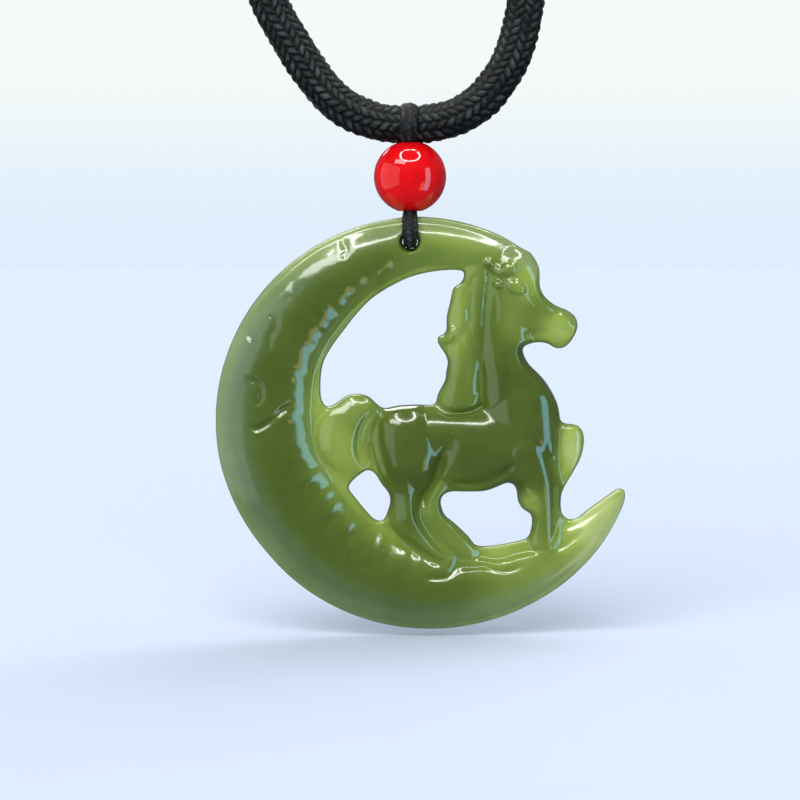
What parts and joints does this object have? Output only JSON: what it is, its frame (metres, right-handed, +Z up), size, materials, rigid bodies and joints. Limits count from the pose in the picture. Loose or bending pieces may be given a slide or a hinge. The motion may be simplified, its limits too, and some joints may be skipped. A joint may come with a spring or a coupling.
{
  "type": "jade pendant necklace",
  "caption": "Openwork green jade carving of a horse inside a crescent moon, hung with a red bead on an adjustable braided cord.",
  "frame": {"origin": "the hang point: the underside of the sliding knot at the top of the necklace, where a peg or hook holds it", "axes": "+Z up; the carving lies in the XZ plane and its front faces -Y; +X is to the right of someone who faces it"},
  "size_m": [0.0459, 0.0082, 0.2407],
  "materials": {
    "jade": "polished translucent green nephrite, paler where thin",
    "red_agate": "polished glossy red agate",
    "loop_cord": "black twisted polyester thread",
    "braided_cord": "black round braided cord",
    "wrap_thread": "black wound thread",
    "thin_cord": "black fine braided cord",
    "knot_cord": "black knotted cord"
  },
  "bodies": {
    "necklace": {"neck_cord": "braided_cord", "end_wrap_left": "wrap_thread", "end_wrap_right": "wrap_thread", "thin_cord_left": "thin_cord", "thin_cord_right": "thin_cord", "sliding_knot": "knot_cord", "tail_knot_left": "knot_cord", "tail_knot_right": "knot_cord"},
    "loop": {"hang_loop": "loop_cord"},
    "bead": {"red_bead": "red_agate"},
    "carving": {"jade_carving": "jade"}
  },
  "joints": [
    {"name": "loop_swing", "type": "hinge", "parent": "necklace", "child": "loop", "pos_m": [0, 0, -0.18095], "axis": [1, 0, 0], "range_deg": [-80, 80]},
    {"name": "bead_spin", "type": "hinge", "parent": "loop", "child": "bead", "pos_m": [0, 0, -0.18675], "axis": [0, 0, 1], "continuous": true},
    {"name": "carving_swing", "type": "hinge", "parent": "loop", "child": "carving", "pos_m": [0, 0, -0.194], "axis": [0, 1, 0], "range_deg": [-15, 15]}
  ]
}
